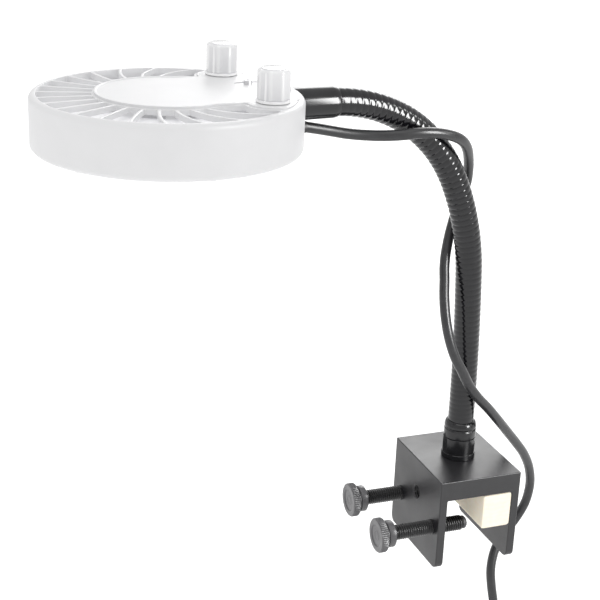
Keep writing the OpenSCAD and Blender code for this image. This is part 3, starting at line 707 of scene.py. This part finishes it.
def inside(outline, point):
    """Whether a point lies within the closed outline."""
    x, y = outline.T
    x2, y2 = np.roll(x, -1), np.roll(y, -1)
    spans = (y > point[1]) != (y2 > point[1])
    with np.errstate(divide="ignore", invalid="ignore"):
        cross = x + (point[1] - y) * (x2 - x) / (y2 - y)
    return bool(np.sum(spans & (point[0] < cross)) % 2)


def trimmed(outline, keep, bridge=None):
    """Leaves out the one run of points that keep() refuses, with bridge(last, first) in its place."""
    kept = keep(outline)
    if kept.all():
        return outline
    first = int(np.flatnonzero(kept & ~np.roll(kept, 1))[0])
    outline, kept = np.roll(outline, -first, 0), np.roll(kept, -first)
    outline = outline[kept]
    return np.vstack([outline, bridge(outline[-1], outline[0])]) if bridge else outline


def rib_edge(k, side):
    """One edge of the curved rib number k, from the plate out to the rim."""
    t = np.linspace(0, 1, 50)
    r = VENT_IN - 2 + (VENT_OUT - VENT_IN + 3) * t
    a = np.radians(180 + RIB_PITCH * k + RIB_SWEEP * (abs(k) / 8.5) ** 3 * np.sign(k) * t ** 1.4)
    along = np.stack([np.cos(a), np.sin(a)], -1)
    return r[:, None] * along + side * RIB_W / 2 * np.stack([-along[:, 1], along[:, 0]], -1)


def slot_outline(k):
    """Outline of the vent slot number k. The one at the front is 0, and those at one side are negative."""
    side = 1 if k >= 0 else -1
    last = abs(k) == SLOTS_PER_SIDE
    near = rib_edge(side * (abs(k) - 0.5) if k else -0.5, side if k else 1)
    if last:
        turn = math.radians(180 + side * 130)
        far = np.linspace(VENT_IN - 2, VENT_OUT + 1, 50)[:, None] * np.array([math.cos(turn), math.sin(turn)])
    else:
        far = rib_edge(side * (abs(k) + 0.5) if k else 0.5, -side if k else -1)

    def between(edge):
        r = np.linalg.norm(edge, axis=1)
        return edge[(r > VENT_IN) & (r < VENT_OUT)]

    def rim(a, b, radius):
        first, end = (math.atan2(-p[1], -p[0]) for p in (a, b))
        return -arc((0, 0), radius, first, end)

    near, far = between(near), between(far)
    outline = np.vstack([near, rim(near[-1], far[-1], VENT_OUT), far[::-1], rim(far[0], near[0], VENT_IN)])
    boss = np.array([KNOB_X, -side * KNOB_Y])
    reach = BOSS_R + LIP_W
    if last:
        outline = rounded(outline, 0.2, 0.05)
        outline = trimmed(outline, lambda p: -side * p[:, 1] > PLATE_HALF + LIP_W)
        outline = trimmed(outline, lambda p: p[:, 0] < VENT_REAR_X)
        outline = rounded(outline, 0.2, 0.05)

    def round_boss(a, b):
        first, end = (math.atan2(*(p - boss)[::-1]) for p in (a, b))
        end += TAU * round((first - end) / TAU)
        return arc(boss, reach, first, end)

    outline = trimmed(outline, lambda p: np.linalg.norm(p - boss, axis=1) > reach, round_boss)
    return rounded(anticlockwise(outline), 0.5, 0.6)


def capped(edge, holes, z):
    """Triangles that fill an outline round its holes, as [points, faces] at height z."""
    loops = [edge, *holes]
    points, edges = np.vstack(loops), []
    start = 0
    for loop in loops:
        index = np.arange(len(loop)) + start
        edges += list(zip(index.tolist(), np.roll(index, -1).tolist()))
        start += len(loop)
    found = delaunay_2d_cdt([Vector(p) for p in points], edges, [], 0, 1e-6)
    to_input = [sources[0] for sources in found[3]]
    faces = []
    for face in found[2]:
        middle = sum((found[0][i] for i in face), Vector((0, 0))) / len(face)
        if inside(edge, middle) and not any(inside(hole, middle) for hole in holes):
            faces.append([to_input[i] for i in face])
    return np.column_stack([points, np.full(len(points), z)]), faces


def plated(name, edge_rings, holes, low, high, at):
    """A closed plate. edge_rings go round its rim from the top face to the underside, and each hole in
    holes is its outline, with eased edges at the top."""
    points, faces = [], []

    def ring(loop, z=None):
        start = sum(len(p) for p in points)
        points.append(np.column_stack([loop, np.full(len(loop), z)]) if z is not None else loop)
        return np.arange(start, start + len(loop))

    def walls(*rings):
        for a, b in zip(rings[:-1], rings[1:]):
            faces.extend(np.stack([a, b, np.roll(b, -1), np.roll(a, -1)], -1).tolist())

    rim = [ring(loop) for loop in edge_rings]
    walls(*rim)
    easing = ((EASE, 0), (0.3 * EASE, 0.3 * EASE), (0, EASE))
    eased = [[ring(grown(hole, out), high - down) for out, down in easing] + [ring(hole, low)]
             for hole in holes]
    for rings in eased:
        walls(*rings)
    for z, first, outline_rings in ((high, 0, [r[0] for r in eased]), (low, -1, [r[-1] for r in eased])):
        everything = np.vstack(points)
        loops = [rim[first], *outline_rings]
        _, cap = capped(everything[loops[0]][:, :2], [everything[i][:, :2] for i in loops[1:]], z)
        index = np.concatenate(loops)
        faces.extend([[int(index[i]) for i in face] for face in cap])
    return solid(name, np.vstack(points), faces, at)


def polar(r, degrees):
    return r * math.cos(math.radians(degrees)), r * math.sin(math.radians(degrees))


def pin(r, low, high, x=0, y=0, at=HEAD, sides=48):
    """A plain round cutter, or a post."""
    return lathe("pin", [[r, low], [r, high]], at @ Matrix.Translation((x, y, 0)), sides)


def holes_in_top():
    """Cutters for the knobs' shafts and for the screws of the gooseneck's anchor."""
    shafts = [pin(SHAFT_HOLE_R, -8, 4, KNOB_X, side * KNOB_Y) for side in (-1, 1)]
    return shafts + [pin(ANCHOR_SCREW_R, -8, 4, ANCHOR_SCREW_X, side * ANCHOR_SCREW_Y) for side in (-1, 1)]


def turned_ring(r, z):
    """Points round the head at one height."""
    turn = np.linspace(0, TAU, HEAD_SIDES, endpoint=False)
    return np.stack([r * np.cos(turn), r * np.sin(turn), np.full(HEAD_SIDES, z)], -1)


def make_housing():
    """Shell of the head: rounded rim, curved ribs between the vent slots, inner posts and its holes."""
    profile = [[HEAD_R - EDGE_R, 0]]
    for centre, first in ((-EDGE_R, 90), (EDGE_R - HEAD_H, 0)):
        for a in np.radians(np.linspace(first, first - 90, 7)):
            profile.append([HEAD_R - EDGE_R + EDGE_R * math.cos(a), centre + EDGE_R * math.sin(a)])
    profile = profile[1:] + [[HEAD_R - WALL_T + 0.15, -HEAD_H], [HEAD_R - WALL_T, -HEAD_H + 0.15],
                             [HEAD_R - WALL_T, -ROOF_T]]
    slots = [slot_outline(k) for k in range(-SLOTS_PER_SIDE, SLOTS_PER_SIDE + 1)]
    made = plated("head_shell", [turned_ring(r, z) for r, z in profile], slots, -ROOF_T, 0, HEAD)
    posts = [pin(POST_R, -14, -ROOF_T + 0.6, *polar(SINK_POSTS_AT, a), sides=32) for a in (60, 180, 300)]
    posts += [pin(POST_R, -22.4, -12.4, *polar(BEZEL_POSTS_AT, a), sides=32) for a in range(30, 360, 60)]
    combine(made, posts, "UNION")
    through_wall = [pin(NECK_BORE_R, 50, 70, NECK_HOLE_DROP, 0, HEAD_X),
                    pin(CORD_BORE_R, 50, 70, CORD_HOLE_DROP, 0, HEAD_X)]
    combine(made, through_wall + holes_in_top())
    piece(made, HEAD_WHITE, "head", ["head_housing"], 35, True)


def plate_outline(grow):
    """Outline of the control plate: a disc, a bridge back to the rim, and a boss under each knob."""
    eye = np.array([30.0, 0.0])
    rim = HEAD_R - EDGE_R

    def far_side(way, centre, radius):
        offset = eye - centre
        half = way @ offset
        room = half * half - offset @ offset + radius * radius
        return np.where(room > 0, -half + np.sqrt(np.maximum(room, 0)), 0)

    turn = np.linspace(0, TAU, 1440, endpoint=False)
    way = np.stack([np.cos(turn), np.sin(turn)], -1)
    reach = far_side(way, np.zeros(2), PLATE_R + grow)
    for side in (-1, 1):
        reach = np.maximum(reach, far_side(way, np.array([KNOB_X, side * KNOB_Y]), BOSS_R + grow))
    bridge = (PLATE_HALF + grow) / np.maximum(np.abs(way[:, 1]), 1e-6)
    back = np.where(way[:, 0] < -1e-6, eye[0] / np.maximum(-way[:, 0], 1e-6), 1e6)
    reach = np.maximum(reach, np.minimum(bridge, back))
    reach = np.minimum(reach, far_side(way, np.zeros(2), rim))
    return rounded(eye + reach[:, None] * way, 0.6, 0.9)


def make_plate():
    """Control plate with a raised lip, which fades out towards the gooseneck, and a shallow recess."""
    outline = plate_outline(0)
    away = grown(outline, 1) - outline
    lip = 1 / (1 + np.exp((outline[:, 0] - KNOB_X + 17) / 1.6))[:, None]
    rings = []
    for out, rise, down in ((-0.55, 0, 0), (-0.25, 0, 0), (0.05, 1, 0.12), (0.3, 1, 0), (LIP_W - 0.35, 1, 0),
                            (LIP_W - 0.1, 1, 0.1), (LIP_W, 1, 0.35), (LIP_W, 0, PLATE_RISE)):
        shift = out * lip + (out - LIP_W) * (1 - lip)
        z = PLATE_RISE + LIP_H * rise * lip[:, 0] - down
        rings.append(np.column_stack([outline + shift * away, z]))
    corners = [(RECESS_FRONT, -1), (RECESS_BACK, -1), (RECESS_BACK, 1), (RECESS_FRONT, 1)]
    corners = np.array([[x, side * RECESS_HALF] for x, side in corners], float)
    recess = anticlockwise(rounded(corners, 0.5, 2.2))
    made = plated("control_panel", rings, [recess], 0, PLATE_RISE, HEAD)
    floor_rings = [np.column_stack([grown(recess, 0.5), np.full(len(recess), z)]) for z in (RECESS_FLOOR, 0)]
    combine(made, [plated("floor_panel", floor_rings, [], 0, RECESS_FLOOR, HEAD)], "UNION")
    combine(made, holes_in_top())
    piece(made, HEAD_WHITE, "head", ["control_plate"], 35, True)


KNOB_R, KNOB_H, KNOB_SEAT = 7.2, 14.6, 1.0
# The facets' middles are this part of the knob's radius from its axis. FACET_TURN is in radians.
FACETS, FACET_FLAT, FACET_TURN = 8, 0.945, 0.2


def make_knobs():
    """Two knobs with a flange, flat facets and a chamfered top, each with its shaft."""
    def faceted(turn, r, z):
        if r < 5.7 or z < KNOB_SEAT + 1.3:
            return np.full(turn.shape, r)
        step = TAU / FACETS
        off = np.abs((turn + FACET_TURN + step / 2) % step - step / 2)
        return r * np.minimum(FACET_FLAT / np.cos(off), 1)

    top = KNOB_SEAT + KNOB_H
    profile = [[0.4, -3], [2.8, -3], [3, -2.8], [3, 5.6], [5.5, 5.6], [5.6, 5.5], [5.6, KNOB_SEAT],
               [7.35, KNOB_SEAT], [7.5, KNOB_SEAT + 0.15], [7.5, KNOB_SEAT + 0.8], [7.1, KNOB_SEAT + 1.25],
               [7.05, KNOB_SEAT + 1.4], [KNOB_R, KNOB_SEAT + 1.6], [KNOB_R, top - 1.6], [7.15, top - 1.4],
               [6.45, top - 0.55], [6.3, top - 0.45], [5.69, top - 0.4],
               [5.6, top - 0.3], [5.5, top - 0.05], [5.35, top], [0.4, top]]
    for side, body, name in ((1, "knob_left", "knob_rear"), (-1, "knob_right", "knob_front")):
        at = HEAD @ Matrix.Translation((KNOB_X, side * KNOB_Y, 0))
        made = lathe(name, profile, at, 128, shape=faceted)
        piece(made, KNOB_WHITE, body, [body], 28)


make_housing()
make_plate()
make_knobs()

# ---------- clamp ----------

CLAMP_HALF_W, CLAMP_HALF_L, WEB_T, LEG_T = 23, 28, 11, 4.4
LEG_DROP, CORNER_R = 39.5, 4
SCREW_ROW, SCREW_Y, TOP_HOLE_Z = -18.5, 19.5, -7.7
THREAD_R, THREAD_DEPTH, THREAD_PITCH = 4.0, 0.6, 1.25
SCREW_BORE_R, STUD_BORE_R = 4.05, 4.02
SCREW_LENGTH, TIP_LENGTH = 51.2, 2.3
KNURL_TEETH, KNURL_DEPTH = 56, 0.32

ANODISED = material("anodised", (0.014, 0.0135, 0.0155), vary=0.2, grain=160, rough=0.4, rough_vary=0.05,
                    bump=0.02, bump_grain=3200, Specular_IOR_Level=0.6)
THREAD_BLACK = material("thread_black", (0.012, 0.012, 0.013), vary=0.2, grain=500, rough=0.3, bump=0.008,
                        bump_grain=2000, Specular_IOR_Level=0.55)
# Cream block with a wavy grain. Its emission is a painted glow that brightens the block, though it is no
# lamp.
CREAM_PAINTED_GLOW = material("cream_block_painted_glow", (0.96, 0.87, 0.71), vary=0.05, grain=300, rough=0.62, bump=0.03,
                 bump_grain=1400,
                 bands={"axis": "Z", "scale": 120, "wobble": 6, "show": 0.25, "colour": (0.98, 0.93, 0.82),
                        "depth": 0.3}, Subsurface_Weight=0.15, Subsurface_Radius=(0.004, 0.003, 0.002),
                 Emission_Color=(1, 0.86, 0.68, 1), Emission_Strength=0.13)


def thread(name, start, end, at, sides=40):
    """An M8 rod with a helical thread and eased ends."""
    def shape(turn, r, z):
        phase = (z / THREAD_PITCH - turn / TAU) % 1
        crest = np.clip((np.abs(2 * phase - 1) - 0.15) / 0.65, 0, 1)
        room = min(1, (z - start) / 0.8, (end - z) / 0.8)
        return THREAD_R - THREAD_DEPTH + THREAD_DEPTH * crest * max(room, 0)

    heights = np.linspace(start, end, int((end - start) / THREAD_PITCH * 9) + 2)
    return lathe(name, [[THREAD_R, z] for z in heights], at, sides, shape=shape)


def make_clamp():
    """U-shaped bracket with rounded legs, tapped holes in countersinks, and the two screws' holes."""
    x, deep = CLAMP_HALF_W, LEG_DROP + 10
    inner = x - LEG_T
    outline = [(-x, -deep), (-x, WEB_T), (x, WEB_T), (x, -deep),
               (inner, -deep), (inner, 0), (-inner, 0), (-inner, -deep)]
    made = solid("clamp", *skin([[(px, y, pz) for px, pz in outline] for y in (-40, 40)]))
    loop = rounded_loop(CLAMP_HALF_L, LEG_DROP, CORNER_R, 9)
    loop = [(y, z) if z < 0 else (math.copysign(CLAMP_HALF_L, y), z + 10) for y, z in loop]
    side_view = [[(px, y, z) for y, z in loop] for px in (-40, 40)]
    combine(made, [solid("side_view", *skin(side_view))], "INTERSECT")
    bevelled(made, 0.5, 3, 40)
    bores, face = [], CLAMP_HALF_W - LEG_T / 2
    for side in (-1, 1):
        at = Matrix.Translation((0, side * SCREW_Y, SCREW_ROW)) @ ALONG_X
        bores.append(pin(SCREW_BORE_R, -30, -14, at=at))
    tapped = [(-face, 0, TOP_HOLE_Z), (face, 0, TOP_HOLE_Z),
              (face, -SCREW_Y, SCREW_ROW), (face, SCREW_Y, SCREW_ROW)]
    for spot in tapped:
        at = Matrix.Translation(spot) @ ALONG_X
        bores.append(thread("tap", -4, 4, at, 32))
        for end in (-1, 1):
            rim = [[4.6, end * (LEG_T / 2 + 0.4)], [3.3, end * (LEG_T / 2 - 0.9)]]
            bores.append(lathe("sink", rim, at, 48))
    bores.append(pin(STUD_BORE_R, 2, 20, at=Matrix.Identity(4)))
    combine(made, bores)
    piece(made, ANODISED, "root", ["clamp_bracket"], 35, True)


def make_block():
    """Spacer block with softened edges, in the CAD node's own box."""
    low, high = (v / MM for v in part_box("spacer_block"))
    middle, half = (low + high) / 2, (high - low) / 2
    loop = rounded_loop(half.x, half.y, 0.7, 4)
    rings = []
    for shrink, z in ((0.7, -1), (0.2, -0.93), (0, -0.86), (0, 0.86), (0.2, 0.93), (0.7, 1)):
        scale = 1 - shrink / np.array([half.x, half.y])
        rings.append(np.column_stack([loop * scale, np.full(len(loop), z * half.z)]))
    made = solid("cream_pad", *skin(rings), Matrix.Translation(middle))
    piece(made, CREAM_PAINTED_GLOW, "root", ["spacer_block"], 60, True)


def make_screws():
    """Two thumbscrews: a knurled head, a threaded rod with a socket, and the swivelling tip."""
    def knurl(turn, r, z):
        if r < 8.6 or not 0.3 < z < 3.7:
            return np.full(turn.shape, r)
        return r - KNURL_DEPTH * np.abs(np.sin(turn * KNURL_TEETH / 2)) ** 0.7

    head = [[0.4, 0.45], [2.2, 0.45], [2.3, 0.35], [2.6, 0.35], [2.7, 0.45], [5.5, 0.45], [5.9, 0.05],
            [6.1, 0], [8.4, 0], [8.75, 0.25], [9, 0.55], [9, 3.45], [8.75, 3.75], [8.4, 4], [6.3, 4],
            [6.3, 5.2], [6.9, 5.4], [7, 5.6], [7, 8.5], [6.8, 8.8], [6.5, 9], [5, 9], [5, 9.9],
            [4.2, 10.2], [0.4, 10.2]]
    end = SCREW_LENGTH - TIP_LENGTH - 0.2
    tip = [[0.4, -TIP_LENGTH - 3.5], [1.4, -TIP_LENGTH - 3.5], [1.5, -TIP_LENGTH - 3.3], [1.5, -TIP_LENGTH],
           [3.25, -TIP_LENGTH], [3.4, -TIP_LENGTH + 0.15], [3.4, -1.1], [3.2, -0.8], [2.6, -0.2], [1.9, 0],
           [0.4, 0]]
    for name, tip_x, y in (("front", -3, -SCREW_Y), ("rear", -2.2, SCREW_Y)):
        start = Vector((tip_x - SCREW_LENGTH, y, SCREW_ROW))
        finish = material(f"screw_{name}", (0.085, 0.083, 0.088), vary=0.12, grain=260, rough=0.33,
                          bump=0.008, bump_grain=1800, Specular_IOR_Level=0.6,
                          bands={"type": "RINGS", "axis": "X", "scale": 260, "show": 0.3,
                                 "colour": (0.12, 0.12, 0.125), "centre": start * MM, "depth": 0.4})
        at = Matrix.Translation(start) @ ALONG_X
        made = lathe(f"screw_head_{name}", head, at, 224, shape=knurl)
        piece(made, finish, f"screw_{name}", [f"thumbscrew_{name}"], 30)
        rod = thread(f"screw_thread_{name}", 10.2, end, at)
        combine(rod, [pin(1.6, end - 3.8, end + 2, at=at, sides=24)])
        piece(rod, THREAD_BLACK, f"screw_{name}", (), 50)
        pad = lathe(f"screw_pad_{name}", tip, Matrix.Translation((tip_x, y, SCREW_ROW)) @ ALONG_X, 64)
        piece(pad, RUBBER, f"tip_{name}", [f"screw_tip_{name}"], 40)


make_clamp()
make_block()
make_screws()

# ---------- finishes of the CAD parts that stay ----------

ZINC = material("zinc", (0.62, 0.62, 0.63), vary=0.08, grain=420, rough=0.3, Metallic=1.0)
# The heat sink's emission is a painted glow. It lifts the shade inside the vent slots, though the heat sink
# is no lamp.
SINK_PAINTED_GLOW = material("sink_grey_painted_glow", (0.70, 0.70, 0.71), vary=0.04, grain=240, rough=0.5, bump=0.02, bump_grain=1600,
                Emission_Color=(0.8, 0.8, 0.82, 1), Emission_Strength=0.32)
BOARD_WHITE = material("board_white", (0.86, 0.86, 0.84), vary=0.03, grain=180, rough=0.35,
                       bands={"type": "RINGS", "axis": "Z", "scale": 60, "show": 0.12,
                              "colour": (0.7, 0.7, 0.68), "centre": head_middle * MM})
EMITTER = material("emitter_gel", (0.92, 0.72, 0.16), vary=0.12, grain=1500, rough=0.22, bump=0.02,
                   Coat_Weight=0.6)
LENS = material("lens_clear", (0.96, 0.97, 0.98), vary=0.01, grain=100, rough=0.06, rough_vary=0.03,
                bump=0.004, Transmission_Weight=1.0, IOR=1.49)
GLASS = material("glass_clear", (0.93, 0.96, 0.95), vary=0.01, grain=60, rough=0.03, rough_vary=0.02,
                 bump=0.001, Transmission_Weight=1.0, IOR=1.52)
# The driver board's emission is a painted glow. It lifts the shade inside the head, though the board is no
# lamp.
DRIVER_WHITE_PAINTED_GLOW = material("driver_white_painted_glow", (0.78, 0.78, 0.77), vary=0.05, grain=500, rough=0.35,
                        bands={"axis": "X", "scale": 140, "wobble": 3, "show": 0.2,
                               "colour": (0.66, 0.66, 0.65)},
                        Emission_Color=(0.8, 0.8, 0.82, 1), Emission_Strength=0.3)
# The driver parts' emission is a painted glow. It lifts the shade inside the head, though the parts are no
# lamps.
COMPONENT_PAINTED_GLOW = material("component_grey_painted_glow", (0.45, 0.45, 0.46), vary=0.2, grain=600, rough=0.4, bump=0.02,
                     Emission_Color=(0.8, 0.8, 0.82, 1), Emission_Strength=0.2)
GLAND = material("gland_black", (0.024, 0.024, 0.026), vary=0.15, grain=420, rough=0.45, bump=0.01)

KEPT = {
    ZINC: ("neck_stud", "neck_anchor", "anchor_screws", "heat_sink_screws", "bezel_screws", "pot_left",
           "pot_right", "pot_nut_left", "pot_nut_right"),
    SINK_PAINTED_GLOW: ("heat_sink",), BOARD_WHITE: ("led_board",), EMITTER: ("led_emitters",), LENS: ("lens_plate",),
    GLASS: ("front_glass",), RUBBER: ("glass_gasket",), HEAD_WHITE: ("bezel_ring",),
    DRIVER_WHITE_PAINTED_GLOW: ("driver_board",), COMPONENT_PAINTED_GLOW: ("driver_parts",), GLAND: ("cord_gland",),
}


def finish_kept():
    """Gives each CAD node that stays its material."""
    for finish, names in KEPT.items():
        for name in names:
            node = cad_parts[name]
            node.data.materials.clear()
            node.data.materials.append(finish)


finish_kept()

# ---------- lights, floor ----------

FLOOR_HALF, FLOOR_GAP = 9000, 4
WORLD_STRENGTH = 0.84
# Name, kind, place, aim, power, then the sun's angle in degrees or the lamp's size in metres
LIGHTS = (
    ("sky", "SUN", (-0.3, -0.35, 2.2), (0, 0, 0), 0.55, 50),
    ("back", "AREA", (0.86, 1.56, 1.0), (-0.02, 0, 0.05), 14, 1.2),
    ("side", "AREA", (0.95, -0.35, 0.7), (-0.02, 0, 0.12), 1.2, 0.22),
    ("strip", "AREA", (0.72, -1.05, 0.62), (-0.02, 0, 0.15), 34, 0.45, 0.9),
)


def make_light(name, kind, at, aim, power, size, height=None):
    """A sun with its angle across, a round soft box, or a tall one that shows only as a reflection."""
    data = bpy.data.lights.new(name, kind)
    data.energy = power
    if kind == "SUN":
        data.angle = math.radians(size)
    elif height:
        data.shape, data.size, data.size_y = "RECTANGLE", size, height
    else:
        data.shape, data.size = "DISK", size
    light = bpy.data.objects.new(name, data)
    light.visible_diffuse = height is None
    bpy.context.scene.collection.objects.link(light)
    way = Vector(aim) - Vector(at)
    light.matrix_world = Matrix.Translation(at) @ way.to_track_quat("-Z", "Y").to_matrix().to_4x4()


def make_studio():
    corners = [(x * FLOOR_HALF, y * FLOOR_HALF, 0) for x, y in ((-1, -1), (1, -1), (1, 1), (-1, 1))]
    floor = solid("floor", corners, [(0, 1, 2, 3)], Matrix.Translation((0, 0, cad_box[0].z / MM - FLOOR_GAP)))
    floor.data.materials.append(material("paper", (0.92, 0.92, 0.92), vary=0.01, grain=3, rough=0.9, bump=0,
                                         Specular_IOR_Level=0.1, Emission_Strength=0.2))
    world = bpy.data.worlds.new("studio")
    world.use_nodes = True
    world.node_tree.nodes["Background"].inputs["Color"].default_value = (1, 1, 1, 1)
    world.node_tree.nodes["Background"].inputs["Strength"].default_value = WORLD_STRENGTH
    bpy.context.scene.world = world
    for light in LIGHTS:
        make_light(*light)
    bpy.context.scene.view_settings.view_transform = "Standard"


make_studio()
